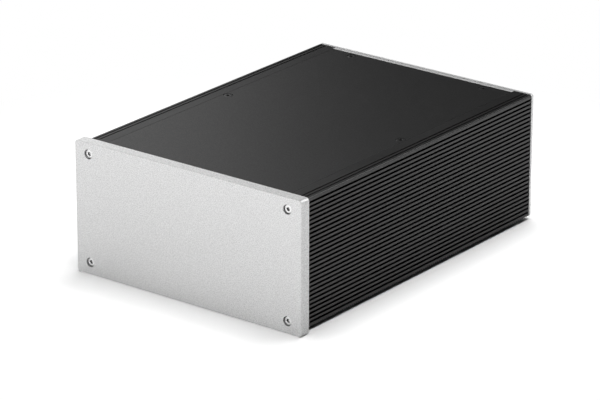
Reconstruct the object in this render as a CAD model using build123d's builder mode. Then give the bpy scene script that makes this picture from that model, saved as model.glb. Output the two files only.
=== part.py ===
from build123d import *
import os

# Amplifier enclosure: a thick front panel, two finned side profiles, a thin rear panel,
# and a cover above and below that lies flush between the flanges of the profiles.
# +X is to the right seen from the front, +Y runs from the front to the rear, +Z is up.
# The origin is the middle of the footprint, at the surface that the enclosure stands on.

# Front panel
front_width = 230.0
front_height = 114.0
front_thickness = 10.0
front_corner_radius = 3.0
front_edge_chamfer = 0.4
front_side_margin = 4.0
front_top_margin = 2.5
body_lift = 3.0

# Side profiles
profile_length = 310.0
profile_corner_radius = 1.2
wall_thickness = 3.5
fin_depth = 4.0
groove_pitch = 3.72
groove_width = 1.86
smallest_band = 3.0
flange_width = 17.4
flange_groove_inset = 3.8
flange_groove_count = 2
flange_groove_width = 1.4
flange_groove_depth = 1.5
ledge_width = 9.6
ledge_thickness = 4.0
channel_inset = 10.0
channel_drop = 7.55
channel_wall = 2.5

# Covers, with the insets of their screws measured from the flanges beside them
cover_thickness = 3.0
cover_gap = 0.1
cover_edge_chamfer = 0.2
tongue_depth = 2.0
tongue_gap = 0.2
side_screw_inset = 4.6
rear_screw_inset = 24.6

# Rear panel and the rails behind its upper and lower edges
rear_thickness = 3.0
rear_overhang = 0.25
rear_corner_radius = 2.0
rear_edge_chamfer = 0.3
rail_land = 3.6
rail_seat = 12.0
rail_height = 8.0
rail_screw_spacing = 70.0

# Screws
thread_diameter = 4.0
thread_play = 0.05
shank_play = 0.25
cap_head_diameter = 7.0
cap_head_height = 4.0
cap_head_chamfer = 0.4
cap_socket_width = 3.0
cap_socket_depth = 2.2
cap_screw_length = 20.0
counterbore_diameter = 8.2
counterbore_recess = 1.2
flat_head_diameter = 8.0
flat_head_recess = 0.15
flat_socket_width = 2.5
flat_socket_depth = 1.6
seat_play = 0.05
cover_screw_length = 8.0
rear_screw_length = 10.0

# Rubber pads, with their insets measured from the flanges and from the ends of the profiles
pad_diameter = 14.0
pad_chamfer = 0.6
pad_side_inset = 13.6
pad_end_inset = 28.0

# Planes and lines that several pieces share
total_depth = front_thickness + profile_length + rear_thickness
front_face_y = -total_depth / 2
rear_face_y = total_depth / 2
body_front_y = front_face_y + front_thickness
body_rear_y = rear_face_y - rear_thickness
body_width = front_width - 2 * front_side_margin
body_height = front_height - front_top_margin - body_lift
body_side_x = body_width / 2
body_top_z = body_lift + body_height
body_middle_y = (body_front_y + body_rear_y) / 2
body_middle_z = body_lift + body_height / 2

groove_room = body_height - 2 * smallest_band - groove_width
groove_count = int(groove_room / groove_pitch) + 1

cover_seat_z = body_top_z - cover_thickness
flange_inner_x = body_side_x - flange_width
ledge_inner_x = flange_inner_x - ledge_width
cover_width = 2 * (flange_inner_x - cover_gap)
cover_front_y = body_front_y - tongue_depth
cover_rear_y = body_rear_y - rail_land - cover_gap
cover_length = cover_rear_y - cover_front_y

channel_x = body_side_x - channel_inset
channel_rise = body_height / 2 - channel_drop
side_screw_x = flange_inner_x - side_screw_inset
rear_screw_x = flange_inner_x - rear_screw_inset
rear_screw_y = cover_rear_y - rail_seat / 2
pad_x = flange_inner_x - pad_side_inset
pad_y = profile_length / 2 - pad_end_inset
rail_screw_z = cover_seat_z - rail_height / 2
rail_screw_rise = rail_screw_z - body_middle_z

thread_radius = thread_diameter / 2
tapped_radius = thread_radius + thread_play
shank_hole_radius = thread_radius + shank_play
flat_head_radius = flat_head_diameter / 2
countersink_radius = flat_head_radius + flat_head_recess + seat_play
countersink_angle = 90.0

front_plane = Plane(origin=(0, front_face_y, body_middle_z), x_dir=(1, 0, 0), z_dir=(0, -1, 0))
body_end_plane = Plane(origin=(0, body_rear_y, body_middle_z), x_dir=(1, 0, 0), z_dir=(0, -1, 0))
rear_plane = Plane(origin=(0, rear_face_y, body_middle_z), x_dir=(-1, 0, 0), z_dir=(0, 1, 0))
middle_plane = Plane.XY.offset(body_middle_z)

os.makedirs("parts", exist_ok=True)


def save(piece, name):
    """Label one finished piece and write it under its name."""
    piece.label = name
    export_step(piece, f"parts/{name}.step")


# Front panel: a rounded plate with a counterbored hole at each corner, and two shallow
# slots in its back that take the front edges of the covers.
with BuildPart() as front_panel:
    with BuildSketch(Plane.XZ.offset(-body_front_y)):
        with Locations((0, front_height / 2)):
            RectangleRounded(front_width, front_height, front_corner_radius)
    extrude(amount=front_thickness)
    front_outline = front_panel.faces().sort_by(Axis.Y)[0].edges()
    back_outline = front_panel.faces().sort_by(Axis.Y)[-1].edges()
    chamfer(front_outline + back_outline, front_edge_chamfer)
    with BuildSketch(Plane.XZ.offset(-body_front_y)):
        with Locations(
            (0, body_top_z - cover_thickness / 2),
            (0, body_lift + cover_thickness / 2),
        ):
            Rectangle(cover_width + 2 * tongue_gap, cover_thickness + 2 * tongue_gap)
    extrude(amount=tongue_depth + tongue_gap, mode=Mode.SUBTRACT)
    with Locations(front_plane):
        with GridLocations(2 * channel_x, 2 * channel_rise, 2, 2):
            CounterBoreHole(
                radius=shank_hole_radius,
                counter_bore_radius=counterbore_diameter / 2,
                counter_bore_depth=cap_head_height + counterbore_recess,
            )

# Side profile: one extruded section. Its outer face is grooved into fins from end to end,
# a flange above and below carries a ledge for the cover, and a round channel in each
# corner takes the screws of the front and rear panels.
with BuildPart() as right_side_profile:
    with BuildSketch(body_end_plane) as profile_section:
        with Locations((body_side_x, 0)):
            Rectangle(wall_thickness + fin_depth, body_height, align=(Align.MAX, Align.CENTER))
        for side, edge in ((1, Align.MAX), (-1, Align.MIN)):
            with Locations((body_side_x, side * body_height / 2)):
                Rectangle(flange_width, cover_thickness + ledge_thickness, align=(Align.MAX, edge))
            with Locations((body_side_x, side * (body_height / 2 - cover_thickness))):
                Rectangle(flange_width + ledge_width, ledge_thickness, align=(Align.MAX, edge))
            with Locations((channel_x, side * channel_rise)):
                Circle(tapped_radius + channel_wall)
        fillet(profile_section.vertices().group_by(Axis.X)[-1], profile_corner_radius)
        with Locations((body_side_x, 0)):
            with GridLocations(1, groove_pitch, 1, groove_count):
                Rectangle(2 * fin_depth, groove_width, mode=Mode.SUBTRACT)
        for side in (1, -1):
            with Locations((channel_x, side * channel_rise)):
                Circle(tapped_radius, mode=Mode.SUBTRACT)
            for number in range(flange_groove_count):
                groove_x = body_side_x - flange_groove_inset - number * groove_pitch
                with Locations((groove_x, side * body_height / 2)):
                    Rectangle(flange_groove_width, 2 * flange_groove_depth, mode=Mode.SUBTRACT)
    extrude(amount=profile_length)
    with Locations((side_screw_x, body_middle_y, body_top_z)):
        Hole(tapped_radius)

with BuildPart() as left_side_profile:
    add(mirror(right_side_profile.part, about=Plane.YZ, mode=Mode.PRIVATE))

# Top cover: a flat plate. Its front edge sits in the slot of the front panel, its sides on
# the ledges, and two screws a side and two at the rear hold it down.
with BuildPart() as top_cover:
    with BuildSketch(Plane.XY.offset(cover_seat_z)):
        with Locations((0, cover_front_y)):
            Rectangle(cover_width, cover_length, align=(Align.CENTER, Align.MIN))
    extrude(amount=cover_thickness)
    chamfer(top_cover.faces().sort_by(Axis.Z)[-1].edges(), cover_edge_chamfer)
    with Locations((0, body_middle_y, body_top_z)):
        with GridLocations(2 * side_screw_x, 1, 2, 1):
            CounterSinkHole(shank_hole_radius, countersink_radius, counter_sink_angle=countersink_angle)
    with Locations((0, rear_screw_y, body_top_z)):
        with GridLocations(2 * rear_screw_x, 1, 2, 1):
            CounterSinkHole(shank_hole_radius, countersink_radius, counter_sink_angle=countersink_angle)

with BuildPart() as bottom_cover:
    add(mirror(top_cover.part, about=middle_plane, mode=Mode.PRIVATE))

# Upper rear rail: a stepped bar. The cover lies on its seat, its land closes the gap behind
# the cover, and its ends are notched to clear the ledges of the profiles.
with BuildPart() as upper_rear_rail:
    with BuildSketch(Plane.YZ):
        with Locations((body_rear_y, body_top_z)):
            Rectangle(rail_land, cover_thickness + rail_height, align=(Align.MAX, Align.MAX))
        with Locations((body_rear_y, cover_seat_z)):
            Rectangle(rail_land + rail_seat, rail_height, align=(Align.MAX, Align.MAX))
    extrude(amount=cover_width / 2, both=True)
    with BuildSketch(Plane.XZ.offset(-body_rear_y)):
        for side, edge in ((1, Align.MIN), (-1, Align.MAX)):
            with Locations((side * (ledge_inner_x - cover_gap), cover_seat_z)):
                Rectangle(2 * ledge_width, 2 * rail_height, align=(edge, Align.MAX))
    extrude(amount=rail_land + rail_seat, mode=Mode.SUBTRACT)
    with Locations((0, rear_screw_y, cover_seat_z)):
        with GridLocations(2 * rear_screw_x, 1, 2, 1):
            Hole(tapped_radius)
    with Locations(Plane(origin=(0, body_rear_y, rail_screw_z), x_dir=(-1, 0, 0), z_dir=(0, 1, 0))):
        with GridLocations(rail_screw_spacing, 1, 2, 1):
            Hole(tapped_radius, depth=rear_screw_length)

with BuildPart() as lower_rear_rail:
    add(mirror(upper_rear_rail.part, about=middle_plane, mode=Mode.PRIVATE))

# Rear panel: a thin rounded plate over the ends of the profiles and the rails.
with BuildPart() as rear_panel:
    with BuildSketch(rear_plane):
        RectangleRounded(
            body_width + 2 * rear_overhang,
            body_height + 2 * rear_overhang,
            rear_corner_radius,
        )
    extrude(amount=-rear_thickness)
    chamfer(rear_panel.faces().sort_by(Axis.Y)[-1].edges(), rear_edge_chamfer)
    with Locations(rear_plane):
        with GridLocations(2 * channel_x, 2 * channel_rise, 2, 2):
            CounterSinkHole(shank_hole_radius, countersink_radius, counter_sink_angle=countersink_angle)
        with GridLocations(rail_screw_spacing, 2 * rail_screw_rise, 2, 2):
            CounterSinkHole(shank_hole_radius, countersink_radius, counter_sink_angle=countersink_angle)

# Socket cap screw, drawn with the top of its head at the origin and its shank down -Z.
with BuildPart() as cap_screw:
    with BuildSketch(Plane.XZ):
        with BuildLine():
            Polyline(
                (0, 0),
                (cap_head_diameter / 2 - cap_head_chamfer, 0),
                (cap_head_diameter / 2, -cap_head_chamfer),
                (cap_head_diameter / 2, -cap_head_height),
                (thread_radius, -cap_head_height),
                (thread_radius, -cap_head_height - cap_screw_length),
                (0, -cap_head_height - cap_screw_length),
                close=True,
            )
        make_face()
    revolve(axis=Axis.Z)
    with BuildSketch(Plane.XY):
        RegularPolygon(cap_socket_width / 2, 6, major_radius=False)
    extrude(amount=-cap_socket_depth, mode=Mode.SUBTRACT)


def build_flat_screw(length):
    """Countersunk socket screw, with the top of its head at the origin and its shank down -Z."""
    cone_depth = flat_head_radius - thread_radius
    with BuildPart() as flat_screw:
        with BuildSketch(Plane.XZ):
            with BuildLine():
                Polyline(
                    (0, 0),
                    (flat_head_radius, 0),
                    (thread_radius, -cone_depth),
                    (thread_radius, -length),
                    (0, -length),
                    close=True,
                )
            make_face()
        revolve(axis=Axis.Z)
        with BuildSketch(Plane.XY):
            RegularPolygon(flat_socket_width / 2, 6, major_radius=False)
        extrude(amount=-flat_socket_depth, mode=Mode.SUBTRACT)
    return flat_screw.part


cover_screw = build_flat_screw(cover_screw_length)
rear_screw = build_flat_screw(rear_screw_length)

# Rubber pad, drawn with its upper face at the origin.
with BuildPart() as rubber_pad:
    Cylinder(pad_diameter / 2, body_lift, align=(Align.CENTER, Align.CENTER, Align.MAX))
    chamfer(rubber_pad.edges().sort_by(Axis.Z)[0], pad_chamfer)

# Where the screws and pads go. On each plane, +Z points out of the enclosure, and the
# origin is where the tops of the heads lie.
front_head_plane = front_plane.offset(-counterbore_recess)
rear_head_plane = rear_plane.offset(-flat_head_recess)
top_head_plane = Plane(origin=(0, 0, body_top_z - flat_head_recess))
pad_plane = Plane(origin=(0, body_middle_y, body_lift))

channel_places = GridLocations(2 * channel_x, 2 * channel_rise, 2, 2).locations
rail_places = GridLocations(rail_screw_spacing, 2 * rail_screw_rise, 2, 2).locations
pad_places = GridLocations(2 * pad_x, 2 * pad_y, 2, 2).locations
cover_places = [
    Location((side * screw_x, screw_y, 0))
    for screw_x, screw_y in ((side_screw_x, body_middle_y), (rear_screw_x, rear_screw_y))
    for side in (-1, 1)
]

save(front_panel.part, "front_panel")
save(right_side_profile.part, "right_side_profile")
save(left_side_profile.part, "left_side_profile")
save(top_cover.part, "top_cover")
save(bottom_cover.part, "bottom_cover")
save(upper_rear_rail.part, "upper_rear_rail")
save(lower_rear_rail.part, "lower_rear_rail")
save(rear_panel.part, "rear_panel")

repeated_pieces = [
    ("front_screw", cap_screw.part, front_head_plane, channel_places),
    ("top_cover_screw", cover_screw, top_head_plane, cover_places),
    ("rear_corner_screw", rear_screw, rear_head_plane, channel_places),
    ("rail_screw", rear_screw, rear_head_plane, rail_places),
    ("rubber_pad", rubber_pad.part, pad_plane, pad_places),
]
for name, shape, plane, places in repeated_pieces:
    for number, place in enumerate(places, start=1):
        with BuildPart() as placed:
            with Locations(plane.location * place):
                add(shape)
        save(placed.part, f"{name}_{number}")

# The screws of the bottom cover mirror those of the top cover.
for number, place in enumerate(cover_places, start=1):
    with BuildPart() as placed:
        with Locations(top_head_plane.location * place):
            add(cover_screw)
        mirror(about=middle_plane, mode=Mode.REPLACE)
    save(placed.part, f"bottom_cover_screw_{number}")
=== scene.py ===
# Amplifier enclosure: finishes of its plates and profiles, detailed screws and pads, and the studio.

import math

import bmesh
import bpy
from bpy.props import FloatProperty
from bpy.props import FloatVectorProperty
from bpy.props import IntProperty
from bpy.props import PointerProperty
from mathutils import Euler
from mathutils import Matrix
from mathutils import Vector


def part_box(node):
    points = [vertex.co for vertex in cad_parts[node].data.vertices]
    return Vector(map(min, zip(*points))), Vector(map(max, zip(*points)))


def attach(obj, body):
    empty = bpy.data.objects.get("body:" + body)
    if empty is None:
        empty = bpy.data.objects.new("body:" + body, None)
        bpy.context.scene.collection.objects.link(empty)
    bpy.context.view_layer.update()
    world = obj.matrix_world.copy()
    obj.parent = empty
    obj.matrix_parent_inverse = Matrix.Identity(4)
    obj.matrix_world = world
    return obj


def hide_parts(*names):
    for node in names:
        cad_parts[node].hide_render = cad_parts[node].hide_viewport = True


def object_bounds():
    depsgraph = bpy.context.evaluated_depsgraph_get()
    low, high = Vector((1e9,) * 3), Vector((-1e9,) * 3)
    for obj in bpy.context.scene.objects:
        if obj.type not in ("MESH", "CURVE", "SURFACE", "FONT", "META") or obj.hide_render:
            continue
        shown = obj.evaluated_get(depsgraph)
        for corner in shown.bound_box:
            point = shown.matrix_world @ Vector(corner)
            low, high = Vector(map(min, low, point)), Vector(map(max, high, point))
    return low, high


bl_info = {
    "name": "Amplifier Enclosure",
    "version": (1, 0, 0),
    "blender": (4, 5, 0),
    "location": "3D View > Sidebar > Enclosure",
    "description": "Finishes an amplifier enclosure's plates, profiles and screws, and sets the studio",
    "category": "Object",
}

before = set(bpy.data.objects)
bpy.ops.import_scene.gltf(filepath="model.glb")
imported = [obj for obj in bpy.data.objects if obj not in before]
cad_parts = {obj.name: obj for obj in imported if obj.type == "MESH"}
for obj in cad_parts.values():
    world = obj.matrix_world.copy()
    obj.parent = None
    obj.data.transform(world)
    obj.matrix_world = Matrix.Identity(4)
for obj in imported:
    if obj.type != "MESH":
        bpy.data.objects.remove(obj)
cad_low, cad_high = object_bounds()

BODY = "root"
MM = 0.001
ALONG_X = (1.0, 0.0, 0.0)
ALONG_Y = (0.0, 1.0, 0.0)
ALONG_Z = (0.0, 0.0, 1.0)

SILVER_FRONT_NODES = ("front_panel",)
SILVER_REAR_NODES = ("rear_panel", "upper_rear_rail", "lower_rear_rail")
PROFILE_NODES = ("left_side_profile", "right_side_profile")
COVER_NODES = ("top_cover", "bottom_cover")

# How each finish varies over its surface: contrast of colour, spread of roughness, depth of relief
SILVER_FRONT_PATTERN = (0.18, 0.05, 0.02 * MM)
SILVER_REAR_PATTERN = (0.13, 0.05, 0.02 * MM)
PROFILE_PATTERN = (0.15, 0.06, 0.005 * MM)
COVER_PATTERN = (0.15, 0.08, 0.009 * MM)
STEEL_PATTERN = (0.08, 0.08, 0.004 * MM)
RUBBER_PATTERN = (0.15, 0.06, 0.02 * MM)
STEEL_GRAIN_SIZE = 0.25 * MM
RUBBER_GRAIN_SIZE = 0.5 * MM
RUBBER_ROUGHNESS = 0.85

# Most of a noise texture's values lie between these two
NOISE_LOW = 0.3
NOISE_HIGH = 0.7

# Refraction of the clear oxide layer on the black plates and profiles
COVER_LAYER_IOR = 1.65
PROFILE_LAYER_IOR = 1.63

# How far below the outer faces the painted shade begins, which takes the sheen off. On the flanges that
# is just below their rounded edges.
FIN_FACE_DEPTH = 0.05 * MM
FLANGE_DEPTH = 1.3 * MM
COVER_FACE_DEPTH = 0.01 * MM

# Painted shade in the counterbores: it reaches this far round the screws' heads, and starts this far
# behind the face
COUNTERBORE_SHADE_REACH = 0.8 * MM
COUNTERBORE_SHADE_START = 0.1 * MM

# Painted shade along the seam between the rear panel and what it closes: its width, and the share of
# brightness kept there
REAR_SEAM_SHADE_WIDTH = 0.3 * MM
REAR_SEAM_PAINTED_SHADE = 0.5

# Screws and pads
CAP_HEAD_HEIGHT = 4.0 * MM
FLAT_HEAD_RADIUS = 4.0 * MM
FLAT_HEAD_SEGMENTS = 48
THREAD_RINGS_PER_TURN = 6
TIP_CHAMFER_HEIGHT = 0.3 * MM
TIP_STEP = 0.1 * MM
PAD_SEGMENTS = 64
SHARP_ANGLE = math.radians(32.0)
DEGREES_PER_SCREW = 37.0
DEGREES_PER_FLAT = 60.0

# Floor and camera. Between the two distances from the middle, the floor fades into the background.
FLOOR_RADIUS = 40.0
FLOOR_SEGMENTS = 96
FADE_START = 0.24
FADE_END = 0.45
SENSOR_WIDTH = 36.0
CAMERA_REACH = 100.0

# Softboxes: name, place (left of the view, away from the camera, up), width, height and power
FLOOR_SOFTBOXES = (
    ("overhead_softbox", (0.0, 0.0, 1.7), 1.2, 1.2, 25.5),
    ("rear_right_softbox", (-0.6, 0.6, 1.7), 1.2, 1.2, 9.5),
)
FINISH_SOFTBOXES = (
    ("front_left_softbox", (1.093, -1.093, 0.414), 1.1, 0.8, 9.7),
    ("rear_left_softbox", (0.8, 0.8, 1.131), 1.1, 0.8, 9.9),
    ("rear_softbox", (0.452, 1.416, 0.589), 0.8, 0.8, 1.3),
    ("right_softbox", (-1.131, 0.0, 1.131), 1.1, 0.8, 14.2),
    ("top_softbox", (0.0, 0.0, 1.7), 1.2, 1.2, 13.2),
)


def node_family(prefix):
    """List the nodes of one family of like pieces, such as front_screw_1 to front_screw_4."""
    return sorted(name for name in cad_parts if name.startswith(prefix))


# Sizes and colours that a user would change

class EnclosureFinish(bpy.types.PropertyGroup):
    """Colours and surface of the anodised plates, the profiles, the screws and the pads"""

    silver_colour: FloatVectorProperty(
        name="Silver",
        description="Colour of the clear anodised plates",
        subtype="COLOR",
        size=3,
        min=0.0,
        max=1.0,
        default=(0.77, 0.77, 0.77),
    )
    silver_roughness: FloatProperty(
        name="Silver Roughness",
        description="Roughness of the bead-blasted silver plates",
        subtype="FACTOR",
        min=0.0,
        max=1.0,
        default=0.58,
    )
    # Painted shade in the counterbores: their colour keeps this share, in place of the shade that falls
    # in these recesses
    counterbore_painted_shade: FloatProperty(
        name="Counterbore Shade",
        description="Share of the silver's brightness that the turned counterbores keep",
        subtype="FACTOR",
        min=0.0,
        max=1.0,
        default=0.8,
    )
    grain_size: FloatProperty(
        name="Blasted Grain",
        description="Size of the pits left by bead blasting",
        subtype="DISTANCE",
        unit="LENGTH",
        min=0.1 * MM,
        default=0.8 * MM,
    )
    black_colour: FloatVectorProperty(
        name="Black",
        description="Colour of the black anodised profiles and covers",
        subtype="COLOR",
        size=3,
        min=0.0,
        max=1.0,
        default=(0.006, 0.006, 0.006),
    )
    black_roughness: FloatProperty(
        name="Black Roughness",
        description="Roughness of the black anodised surfaces",
        subtype="FACTOR",
        min=0.0,
        max=1.0,
        default=0.42,
    )
    die_line_width: FloatProperty(
        name="Die Line Width",
        description="Width of the fine lines that the die leaves along a profile",
        subtype="DISTANCE",
        unit="LENGTH",
        min=0.1 * MM,
        default=0.5 * MM,
    )
    die_line_length: FloatProperty(
        name="Die Line Length",
        description="Length over which a die line fades in and out",
        subtype="DISTANCE",
        unit="LENGTH",
        min=1.0 * MM,
        default=90.0 * MM,
    )
    steel_colour: FloatVectorProperty(
        name="Steel",
        description="Colour of the bright steel screws",
        subtype="COLOR",
        size=3,
        min=0.0,
        max=1.0,
        default=(0.95, 0.95, 0.95),
    )
    # Painted shade in the bright screws' sockets: their walls get this dark colour in place of the shade
    # that falls inside
    socket_shade_colour: FloatVectorProperty(
        name="Socket",
        description="Colour of the broached walls of a bright screw's socket",
        subtype="COLOR",
        size=3,
        min=0.0,
        max=1.0,
        default=(0.12, 0.12, 0.12),
    )
    oxide_colour: FloatVectorProperty(
        name="Black Oxide",
        description="Colour of the blackened screws",
        subtype="COLOR",
        size=3,
        min=0.0,
        max=1.0,
        default=(0.02, 0.02, 0.02),
    )
    rubber_colour: FloatVectorProperty(
        name="Rubber",
        description="Colour of the pads under the enclosure",
        subtype="COLOR",
        size=3,
        min=0.0,
        max=1.0,
        default=(0.02, 0.02, 0.02),
    )


class EnclosureScrews(bpy.types.PropertyGroup):
    """Details of the socket screws that the solids leave out"""

    thread_pitch: FloatProperty(
        name="Thread Pitch",
        description="Rise of the M4 thread in one turn",
        subtype="DISTANCE",
        unit="LENGTH",
        min=0.2 * MM,
        default=0.7 * MM,
    )
    thread_depth: FloatProperty(
        name="Thread Depth",
        description="Height of the thread from root to crest",
        subtype="DISTANCE",
        unit="LENGTH",
        min=0.0,
        default=0.38 * MM,
    )
    thread_radius: FloatProperty(
        name="Thread Radius",
        description="Radius of the thread's crest",
        subtype="DISTANCE",
        unit="LENGTH",
        min=0.5 * MM,
        default=2.0 * MM,
    )
    rim_height: FloatProperty(
        name="Rim Height",
        description="Height of the upright rim round a countersunk head",
        subtype="DISTANCE",
        unit="LENGTH",
        min=0.0,
        default=0.3 * MM,
    )
    knurl_count: IntProperty(
        name="Knurl Count",
        description="Teeth of the straight knurl round a cap head",
        min=12,
        default=36,
    )
    knurl_depth: FloatProperty(
        name="Knurl Depth",
        description="Depth of the knurl's grooves",
        subtype="DISTANCE",
        unit="LENGTH",
        min=0.0,
        default=0.12 * MM,
    )


class EnclosureStage(bpy.types.PropertyGroup):
    """Floor, lamps and camera"""

    floor_colour: FloatVectorProperty(
        name="Floor",
        description="Colour of the floor",
        subtype="COLOR",
        size=3,
        min=0.0,
        max=1.0,
        default=(0.85, 0.85, 0.85),
    )
    floor_exposure: FloatProperty(
        name="Floor Exposure",
        description="How much brighter the camera shows the floor, to turn it white away from the shadow",
        min=1.0,
        default=1.63,
    )
    floor_light: FloatProperty(
        name="Floor Light",
        description="Strength of the softboxes that light the floor and cast the soft shadow",
        min=0.0,
        default=1.0,
    )
    finish_light: FloatProperty(
        name="Finish Light",
        description="Strength of the softboxes that shine back from the enclosure's finishes",
        min=0.0,
        default=1.0,
    )
    surround_level: FloatProperty(
        name="Surround Level",
        description="Brightness of the dark studio round the softboxes",
        min=0.0,
        default=0.01,
    )
    camera_location: FloatVectorProperty(
        name="Camera Location",
        description="Place of the camera",
        subtype="TRANSLATION",
        unit="LENGTH",
        size=3,
        default=(1.7077, -2.2392, 1.1122),
    )
    camera_turn: FloatVectorProperty(
        name="Camera Turn",
        description="Turn of the camera about X, Y and Z",
        subtype="EULER",
        size=3,
        default=(math.radians(69.151), math.radians(-0.086), math.radians(37.533)),
    )
    camera_lens: FloatProperty(
        name="Camera Lens",
        description="Focal length, in millimetres on a sensor 36 mm wide",
        min=1.0,
        default=218.8,
    )


# Nodes that the materials are built from

def feed(tree, value, socket):
    """Link a value to a socket, or set the socket where the value is a plain number or colour."""
    if isinstance(value, bpy.types.NodeSocket):
        tree.links.new(value, socket)
    else:
        socket.default_value = value


def add_math(tree, operation, first, second=0.0):
    """Add a Math node whose inputs are sockets or plain numbers, and return its output."""
    node = tree.nodes.new("ShaderNodeMath")
    node.operation = operation
    feed(tree, first, node.inputs[0])
    feed(tree, second, node.inputs[1])
    return node.outputs["Value"]


def add_scaled(tree, colour, factor):
    """Scale a colour, given as a socket or a plain colour, by a factor."""
    node = tree.nodes.new("ShaderNodeVectorMath")
    node.operation = "SCALE"
    feed(tree, colour, node.inputs[0])
    feed(tree, factor, node.inputs["Scale"])
    return node.outputs["Vector"]


def add_spread(tree, value, low, high):
    """Map the usual range of a noise value to another range."""
    node = tree.nodes.new("ShaderNodeMapRange")
    node.clamp = False
    node.inputs["From Min"].default_value = NOISE_LOW
    node.inputs["From Max"].default_value = NOISE_HIGH
    feed(tree, value, node.inputs["Value"])
    feed(tree, low, node.inputs["To Min"])
    feed(tree, high, node.inputs["To Max"])
    return node.outputs["Result"]


# Shared effects, as shader node groups

def start_group(name, inputs, outputs):
    """Start a shader node group with named inputs and outputs."""
    group = bpy.data.node_groups.new(name, "ShaderNodeTree")
    for socket_name, socket_type, value in inputs:
        socket = group.interface.new_socket(socket_name, in_out="INPUT", socket_type=socket_type)
        socket.default_value = value
    for socket_name, socket_type in outputs:
        group.interface.new_socket(socket_name, in_out="OUTPUT", socket_type=socket_type)
    return group, group.nodes.new("NodeGroupInput"), group.nodes.new("NodeGroupOutput")


def finish_surface(tree, entry, result, coordinate, detail):
    """Shade, roughen and emboss a surface by one noise pattern on the given coordinate."""
    noise = tree.nodes.new("ShaderNodeTexNoise")
    noise.inputs["Scale"].default_value = 1.0
    noise.inputs["Detail"].default_value = detail
    tree.links.new(coordinate, noise.inputs["Vector"])
    pattern = noise.outputs["Fac"]
    contrast = entry.outputs["Contrast"]
    dark = add_math(tree, "SUBTRACT", 1.0, contrast)
    light = add_math(tree, "ADD", 1.0, contrast)
    shade = add_spread(tree, pattern, dark, light)
    tint = add_scaled(tree, entry.outputs["Color"], shade)
    tree.links.new(tint, result.inputs["Color"])
    roughness = entry.outputs["Roughness"]
    spread = entry.outputs["Roughness Spread"]
    smooth = add_math(tree, "SUBTRACT", roughness, spread)
    coarse = add_math(tree, "ADD", roughness, spread)
    tree.links.new(add_spread(tree, pattern, coarse, smooth), result.inputs["Roughness"])
    bump = tree.nodes.new("ShaderNodeBump")
    tree.links.new(entry.outputs["Depth"], bump.inputs["Distance"])
    tree.links.new(pattern, bump.inputs["Height"])
    tree.links.new(bump.outputs["Normal"], result.inputs["Normal"])


def surface_group(name, sizes, detail):
    """Build a group that patterns a surface with noise of the given sizes along X, Y and Z."""
    group, entry, result = start_group(
        name,
        [
            ("Color", "NodeSocketColor", (0.5, 0.5, 0.5, 1.0)),
            ("Contrast", "NodeSocketFloat", 0.05),
            ("Roughness", "NodeSocketFloat", 0.5),
            ("Roughness Spread", "NodeSocketFloat", 0.05),
            ("Depth", "NodeSocketFloat", 0.02 * MM),
        ],
        [
            ("Color", "NodeSocketColor"),
            ("Roughness", "NodeSocketFloat"),
            ("Normal", "NodeSocketVector"),
        ],
    )
    place = group.nodes.new("ShaderNodeTexCoord")
    mapping = group.nodes.new("ShaderNodeMapping")
    mapping.inputs["Scale"].default_value = [1.0 / size for size in sizes]
    group.links.new(place.outputs["Object"], mapping.inputs["Vector"])
    finish_surface(group, entry, result, mapping.outputs["Vector"], detail)
    return group


def shared_group(name, sizes, detail=2.0):
    """Return the named surface group, built once and used by every material that needs it."""
    return bpy.data.node_groups.get(name) or surface_group(name, sizes, detail)


def blasted_grain(finish):
    """Return the group for the fine pits that bead blasting leaves."""
    return shared_group("blasted_grain", [finish.grain_size] * 3, detail=4.0)


def band_group():
    """Build a group that masks a band across one axis, given by its middle and its half width."""
    group, entry, result = start_group(
        "band_mask",
        [
            ("Axis", "NodeSocketVector", ALONG_Z),
            ("Middle", "NodeSocketFloat", 0.0),
            ("Half Width", "NodeSocketFloat", 1.0 * MM),
        ],
        [("Mask", "NodeSocketFloat")],
    )
    place = group.nodes.new("ShaderNodeTexCoord")
    along = group.nodes.new("ShaderNodeVectorMath")
    along.operation = "DOT_PRODUCT"
    group.links.new(place.outputs["Object"], along.inputs[0])
    group.links.new(entry.outputs["Axis"], along.inputs[1])
    offset = add_math(group, "SUBTRACT", along.outputs["Value"], entry.outputs["Middle"])
    distance = add_math(group, "ABSOLUTE", offset)
    inside = add_math(group, "LESS_THAN", distance, entry.outputs["Half Width"])
    group.links.new(inside, result.inputs["Mask"])
    return group


def add_band(tree, axis, middle, half_width):
    """Use the band mask in a material, and return its mask."""
    band = tree.nodes.new("ShaderNodeGroup")
    band.node_tree = bpy.data.node_groups.get("band_mask") or band_group()
    band.inputs["Axis"].default_value = axis
    band.inputs["Middle"].default_value = middle
    band.inputs["Half Width"].default_value = half_width
    return band.outputs["Mask"]


def inner_band(tree, axis, low, high, depth):
    """Mask what lies between two outer faces, apart from a depth below each."""
    middle = (low + high) / 2.0
    return add_band(tree, axis, middle, (high - low) / 2.0 - depth)


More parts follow.
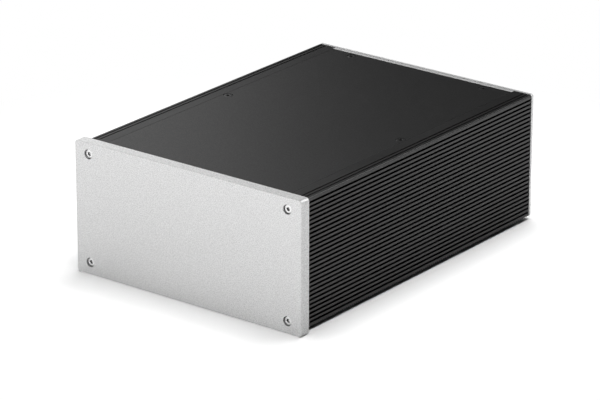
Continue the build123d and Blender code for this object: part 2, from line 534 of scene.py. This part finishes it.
def recess_shade_group():
    """Build a group that masks four recesses, alike on both sides, above and below a middle height, where
    shade is painted.
    """
    group, entry, result = start_group(
        "recess_shade_mask",
        [
            ("Across", "NodeSocketFloat", 100.0 * MM),
            ("Middle", "NodeSocketFloat", 50.0 * MM),
            ("Up", "NodeSocketFloat", 40.0 * MM),
            ("Radius", "NodeSocketFloat", 4.0 * MM),
            ("Front", "NodeSocketFloat", -100.0 * MM),
        ],
        [("Mask", "NodeSocketFloat")],
    )
    place = group.nodes.new("ShaderNodeTexCoord")
    axes = group.nodes.new("ShaderNodeSeparateXYZ")
    group.links.new(place.outputs["Object"], axes.inputs["Vector"])
    side = add_math(group, "ABSOLUTE", axes.outputs["X"])
    height = add_math(group, "SUBTRACT", axes.outputs["Z"], entry.outputs["Middle"])
    across = add_math(group, "SUBTRACT", side, entry.outputs["Across"])
    up = add_math(group, "SUBTRACT", add_math(group, "ABSOLUTE", height), entry.outputs["Up"])
    across_squared = add_math(group, "MULTIPLY", across, across)
    up_squared = add_math(group, "MULTIPLY", up, up)
    reach = add_math(group, "SQRT", add_math(group, "ADD", across_squared, up_squared))
    near = add_math(group, "LESS_THAN", reach, entry.outputs["Radius"])
    deep = add_math(group, "GREATER_THAN", axes.outputs["Y"], entry.outputs["Front"])
    group.links.new(add_math(group, "MULTIPLY", near, deep), result.inputs["Mask"])
    return group


# Materials

def plain_material(name):
    """Start a material with its Principled shader, and return both."""
    material = bpy.data.materials.new(name)
    material.use_nodes = True
    shader = material.node_tree.nodes["Principled BSDF"]
    return material, shader


def dress(material, shader, group, colour, roughness, pattern):
    """Feed a shader's colour, roughness and normal from a surface group, and return the group's node."""
    contrast, spread, depth = pattern
    tree = material.node_tree
    effect = tree.nodes.new("ShaderNodeGroup")
    effect.node_tree = group
    effect.inputs["Color"].default_value = (*colour, 1.0)
    effect.inputs["Contrast"].default_value = contrast
    effect.inputs["Roughness"].default_value = roughness
    effect.inputs["Roughness Spread"].default_value = spread
    effect.inputs["Depth"].default_value = depth
    tree.links.new(effect.outputs["Color"], shader.inputs["Base Color"])
    tree.links.new(effect.outputs["Roughness"], shader.inputs["Roughness"])
    tree.links.new(effect.outputs["Normal"], shader.inputs["Normal"])
    return effect


def paint_shade(material, shader, effect, mask, shade):
    """Paint shade into a surface's colour: scale it down where a mask is set."""
    tree = material.node_tree
    kept = add_math(tree, "SUBTRACT", 1.0, add_math(tree, "MULTIPLY", mask, 1.0 - shade))
    tint = add_scaled(tree, effect.outputs["Color"], kept)
    tree.links.new(tint, shader.inputs["Base Color"])


def silver_material(name, finish, pattern):
    """Start bead-blasted aluminium under a clear anodised layer, before its painted shade is set."""
    material, shader = plain_material(name)
    shader.inputs["Metallic"].default_value = 1.0
    grain = blasted_grain(finish)
    effect = dress(material, shader, grain, finish.silver_colour, finish.silver_roughness, pattern)
    return material, shader, effect


def silver_front_material(finish):
    """Silver with painted shade in the counterbores, where the screws' heads sit in recesses."""
    material, shader, effect = silver_material("silver_front_finish", finish, SILVER_FRONT_PATTERN)
    screw_low, screw_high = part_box(node_family("front_screw_")[0])
    plate_low, plate_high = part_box("front_panel")
    screw = (screw_low + screw_high) / 2.0
    plate = (plate_low + plate_high) / 2.0
    head_radius = (screw_high.x - screw_low.x) / 2.0
    # Painted shade: the colour is scaled down in the counterbores round the front screws
    recess_shade = material.node_tree.nodes.new("ShaderNodeGroup")
    recess_shade.node_tree = recess_shade_group()
    recess_shade.inputs["Across"].default_value = abs(screw.x)
    recess_shade.inputs["Middle"].default_value = plate.z
    recess_shade.inputs["Up"].default_value = abs(screw.z - plate.z)
    recess_shade.inputs["Radius"].default_value = head_radius + COUNTERBORE_SHADE_REACH
    recess_shade.inputs["Front"].default_value = plate_low.y + COUNTERBORE_SHADE_START
    paint_shade(material, shader, effect, recess_shade.outputs["Mask"], finish.counterbore_painted_shade)
    return material


def silver_rear_material(finish):
    """Silver with painted shade along the seam where the rear panel meets the rails and the profiles."""
    material, shader, effect = silver_material("silver_rear_finish", finish, SILVER_REAR_PATTERN)
    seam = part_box("rear_panel")[0].y
    # Painted shade: the colour is scaled down in a thin band along the seam
    mask = add_band(material.node_tree, ALONG_Y, seam, REAR_SEAM_SHADE_WIDTH / 2.0)
    paint_shade(material, shader, effect, mask, REAR_SEAM_PAINTED_SHADE)
    return material


def black_profile_material(finish):
    """Extruded aluminium, black anodised, with faint lines along the profile."""
    material, shader = plain_material("black_profile_finish")
    shader.inputs["IOR"].default_value = PROFILE_LAYER_IOR
    width = finish.die_line_width
    lines = shared_group("die_lines", [width, finish.die_line_length, width])
    dress(material, shader, lines, finish.black_colour, finish.black_roughness, PROFILE_PATTERN)
    # Painted shade in the grooves: a mask feeds Metallic there, which takes off the sheen that the outer
    # faces keep
    tree = material.node_tree
    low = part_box("left_side_profile")[0]
    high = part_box("right_side_profile")[1]
    inside = inner_band(tree, ALONG_X, low.x, high.x, FIN_FACE_DEPTH)
    between = inner_band(tree, ALONG_Z, low.z, high.z, FLANGE_DEPTH)
    tree.links.new(add_math(tree, "MULTIPLY", inside, between), shader.inputs["Metallic"])
    return material


def black_cover_material(finish):
    """Flat aluminium plate, finely blasted and black anodised."""
    material, shader = plain_material("black_cover_finish")
    shader.inputs["IOR"].default_value = COVER_LAYER_IOR
    grain = blasted_grain(finish)
    dress(material, shader, grain, finish.black_colour, finish.black_roughness, COVER_PATTERN)
    # Painted shade in the seams and the countersinks, which lie below the outer faces: a mask feeds
    # Metallic there, which takes off their sheen
    tree = material.node_tree
    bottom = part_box("bottom_cover")[0].z
    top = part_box("top_cover")[1].z
    below = inner_band(tree, ALONG_Z, bottom, top, COVER_FACE_DEPTH)
    tree.links.new(below, shader.inputs["Metallic"])
    return material


def steel_material(name, colour, metallic, roughness):
    """Turned steel of a small screw."""
    material, shader = plain_material(name)
    shader.inputs["Metallic"].default_value = metallic
    grain = shared_group("turned_steel", [STEEL_GRAIN_SIZE] * 3)
    dress(material, shader, grain, colour, roughness, STEEL_PATTERN)
    return material


def rubber_material(finish):
    """Matt moulded rubber."""
    material, shader = plain_material("pad_rubber_finish")
    grain = shared_group("moulded_grain", [RUBBER_GRAIN_SIZE] * 3)
    dress(material, shader, grain, finish.rubber_colour, RUBBER_ROUGHNESS, RUBBER_PATTERN)
    return material


def assign(material, names):
    """Give CAD nodes a material in their slot."""
    for name in names:
        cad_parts[name].data.materials[0] = material


# Turned pieces: a loop of edges is drawn on ring by ring

def start_rings(segments, height, radius_at):
    """Start a piece from a closed disc whose rim may have any radius at each angle."""
    bm = bmesh.new()
    bmesh.ops.create_circle(bm, cap_ends=True, segments=segments, radius=1.0)
    place_ring(bm.verts, height, radius_at)
    return bm, bm.edges[:]


def place_ring(verts, height, radius_at):
    """Set a ring's points at a height, with one radius or a radius for each angle."""
    for vert in verts:
        angle = math.atan2(vert.co.y, vert.co.x)
        radius = radius_at(angle) if callable(radius_at) else radius_at
        vert.co = Vector((radius * math.cos(angle), radius * math.sin(angle), height))


def draw_ring(bm, edges, height, radius_at):
    """Draw the open loop of edges on to one more ring, and return the new loop."""
    made = bmesh.ops.extrude_edge_only(bm, edges=edges)["geom"]
    verts = [item for item in made if isinstance(item, bmesh.types.BMVert)]
    fresh = set(verts)
    place_ring(verts, height, radius_at)
    return [
        item
        for item in made
        if isinstance(item, bmesh.types.BMEdge) and set(item.verts) <= fresh
    ]


def draw_rings(bm, edges, rings):
    """Draw the open loop on over several rings, each given by its height and radius."""
    for height, radius_at in rings:
        edges = draw_ring(bm, edges, height, radius_at)
    return edges


def close_rings(bm, edges):
    """Close the last ring with a face."""
    bmesh.ops.edgeloop_fill(bm, edges=edges)


def finish_piece(bm, name, place, materials, replaced):
    """Put a finished mesh in its place, ride it on the body and let it stand for its CAD node."""
    bmesh.ops.recalc_face_normals(bm, faces=bm.faces)
    for face in bm.faces:
        face.smooth = True
    bmesh.ops.transform(bm, matrix=place, verts=bm.verts)
    mesh = bpy.data.meshes.new(name)
    bm.to_mesh(mesh)
    bm.free()
    mesh.set_sharp_from_angle(angle=SHARP_ANGLE)
    for material in materials:
        mesh.materials.append(material)
    piece = bpy.data.objects.new(name, mesh)
    bpy.context.scene.collection.objects.link(piece)
    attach(piece, BODY)
    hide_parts(replaced)


def hexagon(width):
    """Give the radius of a hexagon of that width across its flats, at each angle."""
    sector = math.pi / 3.0

    def radius_at(angle):
        return width / 2.0 / math.cos(angle % sector - sector / 2.0)

    return radius_at


def thread(screws, height, start, end):
    """Give the radius of the thread at one height, at each angle. It fades in and out at its ends."""
    run = min(start - height, height - end) / screws.thread_pitch
    depth = screws.thread_depth * max(0.0, min(1.0, run))

    def radius_at(angle):
        turn = (height / screws.thread_pitch + angle / math.tau) % 1.0
        return screws.thread_radius - depth * (1.0 - abs(2.0 * turn - 1.0))

    return radius_at


def draw_thread(bm, edges, screws, start, end):
    """Draw a threaded shank from one height down to another, and close its chamfered tip."""
    count = round((start - end) / screws.thread_pitch * THREAD_RINGS_PER_TURN)
    for number in range(1, count):
        height = start + (end - start) * number / count
        edges = draw_ring(bm, edges, height, thread(screws, height, start, end))
    root = screws.thread_radius - screws.thread_depth
    edges = draw_ring(bm, edges, end + TIP_CHAMFER_HEIGHT, screws.thread_radius - TIP_STEP)
    edges = draw_ring(bm, edges, end, root)
    close_rings(bm, edges)


def draw_socket(segments, width, depth, mouth_chamfer):
    """Start a screw from the drilled bottom of its hexagon socket, up to its chamfered mouth."""
    drill_cone = width / 6.0
    corner_radius = width / 2.0 / math.cos(math.pi / 6.0)
    bm, edges = start_rings(segments, -depth, hexagon(width))
    centre = bmesh.ops.poke(bm, faces=bm.faces[:])["verts"][0]
    centre.co.z -= drill_cone
    bottom = set(bm.faces)
    edges = draw_ring(bm, edges, -mouth_chamfer, hexagon(width))
    walls = set(bm.faces) - bottom
    edges = draw_ring(bm, edges, 0.0, corner_radius + mouth_chamfer / 2.0)
    return bm, edges, walls


def shade_walls(bm, walls):
    """Give the socket's walls the second material, and all other faces the first. On the bright screws
    the second material is painted shade.
    """
    for face in bm.faces:
        face.material_index = 1 if face in walls else 0


def screw_place(name, outward, number):
    """Work out where a screw's head lies from its node. Each has its own turn, where it came tight."""
    low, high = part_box(name)
    middle = (low + high) / 2.0
    reach = (high - low) / 2.0
    top = middle + Vector(outward) * abs(reach.dot(Vector(outward)))
    rotation = Vector(outward).to_track_quat("Z", "Y").to_matrix().to_4x4()
    turn = math.radians(DEGREES_PER_SCREW * number % DEGREES_PER_FLAT)
    return Matrix.Translation(top) @ rotation @ Matrix.Rotation(turn, 4, "Z")


def build_cap_screw(screws, name, outward, number, materials):
    """Socket cap screw: a knurled head with a hexagon socket, and a threaded shank."""
    low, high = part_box(name)
    length = high.y - low.y
    head_radius = (high.x - low.x) / 2.0
    tooth = math.pi / screws.knurl_count

    def knurl(angle):
        is_groove = round(angle / tooth) % 2
        return head_radius - screws.knurl_depth * is_groove

    segments = screws.knurl_count * 2
    bm, edges, walls = draw_socket(segments, width=3.0 * MM, depth=2.2 * MM, mouth_chamfer=0.15 * MM)
    # Each ring has its height, which is below 0 under the face of the head, and its radius
    crown = (
        (0.0, head_radius - 0.45 * MM),
        (-0.06 * MM, head_radius - 0.28 * MM),
        (-0.2 * MM, head_radius - 0.1 * MM),
        (-0.4 * MM, head_radius),
    )
    grip = (
        (-0.7 * MM, knurl),
        (-CAP_HEAD_HEIGHT + 0.4 * MM, knurl),
    )
    underside = (
        (-CAP_HEAD_HEIGHT + 0.15 * MM, head_radius),
        (-CAP_HEAD_HEIGHT, head_radius - 0.15 * MM),
        (-CAP_HEAD_HEIGHT, screws.thread_radius),
    )
    edges = draw_rings(bm, edges, crown + grip + underside)
    draw_thread(bm, edges, screws, -CAP_HEAD_HEIGHT, -length)
    shade_walls(bm, walls)
    place = screw_place(name, outward, number)
    finish_piece(bm, f"{name}_threaded", place, materials, name)


def build_flat_screw(screws, name, outward, number, materials):
    """Countersunk screw: a flat head with a hexagon socket, a cone below it and a threaded shank."""
    low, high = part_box(name)
    size = high - low
    length = abs(size.dot(Vector(outward)))
    cone_radius = min(min(size) / 2.0, FLAT_HEAD_RADIUS)
    cone_depth = cone_radius - screws.thread_radius
    head_radius = cone_radius - screws.rim_height
    bm, edges, walls = draw_socket(
        FLAT_HEAD_SEGMENTS, width=2.5 * MM, depth=1.6 * MM, mouth_chamfer=0.12 * MM
    )
    # Each ring has its height, which is below 0 under the face of the head, and its radius
    rounded_edge = (
        (0.0, head_radius - 0.2 * MM),
        (-0.03 * MM, head_radius - 0.09 * MM),
        (-0.1 * MM, head_radius - 0.02 * MM),
    )
    rim_and_cone = (
        (-screws.rim_height, head_radius),
        (-cone_depth, screws.thread_radius),
    )
    edges = draw_rings(bm, edges, rounded_edge + rim_and_cone)
    draw_thread(bm, edges, screws, -cone_depth, -length)
    shade_walls(bm, walls)
    place = screw_place(name, outward, number)
    finish_piece(bm, f"{name}_threaded", place, materials, name)


def build_pad(name, material):
    """Rubber pad: a short moulded disc with rounded edges and a shallow dished foot."""
    low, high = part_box(name)
    radius = (high.x - low.x) / 2.0
    height = high.z - low.z
    # Each ring has its height above the foot and its radius
    dish = (
        (0.2 * MM, 4.2 * MM),
        (0.0, 5.0 * MM),
    )
    lower_edge = (
        (0.0, radius - 0.9 * MM),
        (0.08 * MM, radius - 0.55 * MM),
        (0.3 * MM, radius - 0.2 * MM),
        (0.65 * MM, radius),
    )
    upper_edge = (
        (height - 0.2 * MM, radius),
        (height, radius - 0.15 * MM),
    )
    bm, edges = start_rings(PAD_SEGMENTS, height=0.25 * MM, radius_at=2.5 * MM)
    edges = draw_rings(bm, edges, dish + lower_edge + upper_edge)
    close_rings(bm, edges)
    middle = (low + high) / 2.0
    place = Matrix.Translation(Vector((middle.x, middle.y, low.z)))
    finish_piece(bm, f"{name}_moulded", place, [material], name)


# Operators, one for each group of like pieces

class ENCLOSURE_OT_silver_plates(bpy.types.Operator):
    """Finish the front panel, the rear panel and its rails in silver"""

    bl_idname = "enclosure.silver_plates"
    bl_label = "Silver Plates"

    def execute(self, context):
        finish = context.scene.enclosure_finish
        assign(silver_front_material(finish), SILVER_FRONT_NODES)
        assign(silver_rear_material(finish), SILVER_REAR_NODES)
        return {"FINISHED"}


class ENCLOSURE_OT_black_profiles(bpy.types.Operator):
    """Finish the finned side profiles in black"""

    bl_idname = "enclosure.black_profiles"
    bl_label = "Black Profiles"

    def execute(self, context):
        assign(black_profile_material(context.scene.enclosure_finish), PROFILE_NODES)
        return {"FINISHED"}


class ENCLOSURE_OT_black_covers(bpy.types.Operator):
    """Finish the top and bottom covers in black"""

    bl_idname = "enclosure.black_covers"
    bl_label = "Black Covers"

    def execute(self, context):
        assign(black_cover_material(context.scene.enclosure_finish), COVER_NODES)
        return {"FINISHED"}


class ENCLOSURE_OT_front_screws(bpy.types.Operator):
    """Build the socket cap screws of the front panel"""

    bl_idname = "enclosure.front_screws"
    bl_label = "Front Screws"

    def execute(self, context):
        finish = context.scene.enclosure_finish
        screws = context.scene.enclosure_screws
        steel = [
            steel_material("bright_cap_screw_finish", finish.steel_colour, metallic=1.0, roughness=0.5),
            # Dark steel on the socket walls, as painted shade
            steel_material("cap_socket_painted_shade", finish.socket_shade_colour, metallic=1.0, roughness=0.3),
        ]
        for number, name in enumerate(node_family("front_screw_")):
            build_cap_screw(screws, name, (0, -1, 0), number, steel)
        return {"FINISHED"}


class ENCLOSURE_OT_cover_screws(bpy.types.Operator):
    """Build the black countersunk screws of both covers"""

    bl_idname = "enclosure.cover_screws"
    bl_label = "Cover Screws"

    def execute(self, context):
        finish = context.scene.enclosure_finish
        screws = context.scene.enclosure_screws
        oxide = [
            steel_material("black_screw_finish", finish.oxide_colour, metallic=0.0, roughness=0.32),
            steel_material("black_socket_finish", finish.oxide_colour, metallic=0.0, roughness=0.4),
        ]
        for prefix, outward in (("top_cover_screw_", (0, 0, 1)), ("bottom_cover_screw_", (0, 0, -1))):
            for number, name in enumerate(node_family(prefix)):
                build_flat_screw(screws, name, outward, number, oxide)
        return {"FINISHED"}


class ENCLOSURE_OT_rear_screws(bpy.types.Operator):
    """Build the bright countersunk screws of the rear panel"""

    bl_idname = "enclosure.rear_screws"
    bl_label = "Rear Screws"

    def execute(self, context):
        finish = context.scene.enclosure_finish
        screws = context.scene.enclosure_screws
        steel = [
            steel_material("bright_flat_screw_finish", finish.steel_colour, metallic=1.0, roughness=0.4),
            # Dark steel on the socket walls, as painted shade
            steel_material("flat_socket_painted_shade", finish.socket_shade_colour, metallic=1.0, roughness=0.3),
        ]
        for number, name in enumerate(node_family("rear_corner_screw_") + node_family("rail_screw_")):
            build_flat_screw(screws, name, (0, 1, 0), number, steel)
        return {"FINISHED"}


class ENCLOSURE_OT_rubber_pads(bpy.types.Operator):
    """Build the rubber pads under the bottom cover"""

    bl_idname = "enclosure.rubber_pads"
    bl_label = "Rubber Pads"

    def execute(self, context):
        rubber = rubber_material(context.scene.enclosure_finish)
        for name in node_family("rubber_pad_"):
            build_pad(name, rubber)
        return {"FINISHED"}


# Stage

def exposed_colour(tree, stage):
    """The floor's colour, which the camera sees brighter than the enclosure does."""
    path = tree.nodes.new("ShaderNodeLightPath")
    exposure = tree.nodes.new("ShaderNodeMapRange")
    exposure.inputs["To Min"].default_value = 1.0
    exposure.inputs["To Max"].default_value = stage.floor_exposure
    tree.links.new(path.outputs["Is Camera Ray"], exposure.inputs["Value"])
    return add_scaled(tree, stage.floor_colour, exposure.outputs["Result"])


def fade_outwards(tree):
    """Rise from 0 near the enclosure to 1 further out."""
    place = tree.nodes.new("ShaderNodeTexCoord")
    distance = tree.nodes.new("ShaderNodeVectorMath")
    distance.operation = "LENGTH"
    tree.links.new(place.outputs["Object"], distance.inputs[0])
    fade = tree.nodes.new("ShaderNodeMapRange")
    fade.interpolation_type = "SMOOTHSTEP"
    fade.inputs["From Min"].default_value = FADE_START
    fade.inputs["From Max"].default_value = FADE_END
    tree.links.new(distance.outputs["Value"], fade.inputs["Value"])
    return fade.outputs["Result"]


def seen_directly(tree):
    """Give 1 for camera, glossy and transmission rays, which show the background itself."""
    path = tree.nodes.new("ShaderNodeLightPath")
    direct = add_math(tree, "MAXIMUM", path.outputs["Is Camera Ray"], path.outputs["Is Glossy Ray"])
    return add_math(tree, "MAXIMUM", direct, path.outputs["Is Transmission Ray"])


def floor_material(stage):
    """Pale floor that keeps the shadow near the enclosure and is plain white further out."""
    material = bpy.data.materials.new("floor")
    material.use_nodes = True
    tree = material.node_tree
    tree.nodes.clear()
    matt = tree.nodes.new("ShaderNodeBsdfDiffuse")
    tree.links.new(exposed_colour(tree, stage), matt.inputs["Color"])
    glow = tree.nodes.new("ShaderNodeEmission")
    mix = tree.nodes.new("ShaderNodeMixShader")
    background = add_math(tree, "MULTIPLY", fade_outwards(tree), seen_directly(tree))
    tree.links.new(background, mix.inputs["Fac"])
    tree.links.new(matt.outputs["BSDF"], mix.inputs[1])
    tree.links.new(glow.outputs["Emission"], mix.inputs[2])
    output = tree.nodes.new("ShaderNodeOutputMaterial")
    tree.links.new(mix.outputs["Shader"], output.inputs["Surface"])
    return material


def build_floor(stage):
    """Lay a wide round floor at the height the enclosure stands on."""
    bm = bmesh.new()
    bmesh.ops.create_circle(bm, cap_ends=True, segments=FLOOR_SEGMENTS, radius=FLOOR_RADIUS)
    mesh = bpy.data.meshes.new("floor")
    bm.to_mesh(mesh)
    bm.free()
    mesh.materials.append(floor_material(stage))
    floor = bpy.data.objects.new("floor", mesh)
    bpy.context.scene.collection.objects.link(floor)


def build_surround(stage):
    """Dark studio that the camera sees as a white backdrop."""
    world = bpy.data.worlds.new("studio")
    bpy.context.scene.world = world
    world.use_nodes = True
    tree = world.node_tree
    path = tree.nodes.new("ShaderNodeLightPath")
    level = tree.nodes.new("ShaderNodeMapRange")
    level.inputs["To Min"].default_value = stage.surround_level
    level.inputs["To Max"].default_value = 1.0
    tree.links.new(path.outputs["Is Camera Ray"], level.inputs["Value"])
    sky = tree.nodes["Background"]
    sky.inputs["Color"].default_value = (1.0, 1.0, 1.0, 1.0)
    tree.links.new(level.outputs["Result"], sky.inputs["Strength"])


def studio_place(stage, aside, away, rise):
    """A place in the studio: to the left of the camera's view, away from the camera, and up."""
    middle = (cad_low + cad_high) / 2.0
    view = middle - Vector(stage.camera_location)
    ahead = Vector((view.x, view.y, 0.0)).normalized()
    left = Vector((-ahead.y, ahead.x, 0.0))
    return middle + left * aside + ahead * away + Vector((0.0, 0.0, rise))


def add_softbox(stage, name, place, width, height, power):
    """Hang a softbox that faces the enclosure. The camera doesn't see the box itself."""
    lamp = bpy.data.lights.new(name, "AREA")
    lamp.shape = "RECTANGLE"
    lamp.size = width
    lamp.size_y = height
    lamp.energy = power
    box = bpy.data.objects.new(name, lamp)
    box.location = studio_place(stage, *place)
    towards = studio_place(stage, 0.0, 0.0, 0.0) - box.location
    box.rotation_euler = towards.to_track_quat("-Z", "Y").to_euler()
    box.visible_camera = False
    bpy.context.scene.collection.objects.link(box)
    return box


def add_softboxes(stage):
    """Two softboxes light the floor. The others shine back from the enclosure's finishes."""
    for name, place, width, height, power in FLOOR_SOFTBOXES:
        box = add_softbox(stage, name, place, width, height, power * stage.floor_light)
        box.visible_glossy = False
    for name, place, width, height, power in FINISH_SOFTBOXES:
        box = add_softbox(stage, name, place, width, height, power * stage.finish_light)
        box.visible_diffuse = False


def add_camera(stage):
    """Look at the enclosure from the front right and above."""
    camera = bpy.data.cameras.new("camera")
    camera.sensor_width = SENSOR_WIDTH
    camera.lens = stage.camera_lens
    camera.clip_end = CAMERA_REACH
    eye = bpy.data.objects.new("camera", camera)
    eye.location = stage.camera_location
    eye.rotation_euler = Euler(stage.camera_turn)
    bpy.context.scene.collection.objects.link(eye)
    bpy.context.scene.camera = eye


class ENCLOSURE_OT_stage(bpy.types.Operator):
    """Lay the floor, and set the lamps, the surroundings and the camera"""

    bl_idname = "enclosure.stage"
    bl_label = "Stage"

    def execute(self, context):
        stage = context.scene.enclosure_stage
        build_floor(stage)
        build_surround(stage)
        add_softboxes(stage)
        add_camera(stage)
        context.scene.view_settings.view_transform = "Standard"
        return {"FINISHED"}


class ENCLOSURE_PT_pieces(bpy.types.Panel):
    """Lists the groups of pieces and their sizes and colours"""

    bl_idname = "ENCLOSURE_PT_pieces"
    bl_label = "Amplifier Enclosure"
    bl_space_type = "VIEW_3D"
    bl_region_type = "UI"
    bl_category = "Enclosure"

    def draw(self, context):
        for settings in (
            context.scene.enclosure_finish,
            context.scene.enclosure_screws,
            context.scene.enclosure_stage,
        ):
            column = self.layout.box().column()
            for name in settings.__annotations__:
                column.prop(settings, name)
        for operator in OPERATORS:
            self.layout.operator(operator.bl_idname)


PROPERTY_GROUPS = (EnclosureFinish, EnclosureScrews, EnclosureStage)
OPERATORS = (
    ENCLOSURE_OT_stage,
    ENCLOSURE_OT_silver_plates,
    ENCLOSURE_OT_black_profiles,
    ENCLOSURE_OT_black_covers,
    ENCLOSURE_OT_front_screws,
    ENCLOSURE_OT_cover_screws,
    ENCLOSURE_OT_rear_screws,
    ENCLOSURE_OT_rubber_pads,
)
CLASSES = (*PROPERTY_GROUPS, *OPERATORS, ENCLOSURE_PT_pieces)


def register():
    """Register the classes and give every scene its settings."""
    for item in CLASSES:
        bpy.utils.register_class(item)
    bpy.types.Scene.enclosure_finish = PointerProperty(type=EnclosureFinish)
    bpy.types.Scene.enclosure_screws = PointerProperty(type=EnclosureScrews)
    bpy.types.Scene.enclosure_stage = PointerProperty(type=EnclosureStage)


def unregister():
    """Take the settings and the classes away again."""
    del bpy.types.Scene.enclosure_stage
    del bpy.types.Scene.enclosure_screws
    del bpy.types.Scene.enclosure_finish
    for item in reversed(CLASSES):
        bpy.utils.unregister_class(item)


def main():
    """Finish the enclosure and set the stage."""
    register()
    bpy.ops.enclosure.stage()
    bpy.ops.enclosure.silver_plates()
    bpy.ops.enclosure.black_profiles()
    bpy.ops.enclosure.black_covers()
    bpy.ops.enclosure.front_screws()
    bpy.ops.enclosure.cover_screws()
    bpy.ops.enclosure.rear_screws()
    bpy.ops.enclosure.rubber_pads()


if __name__ == "__main__":
    main()
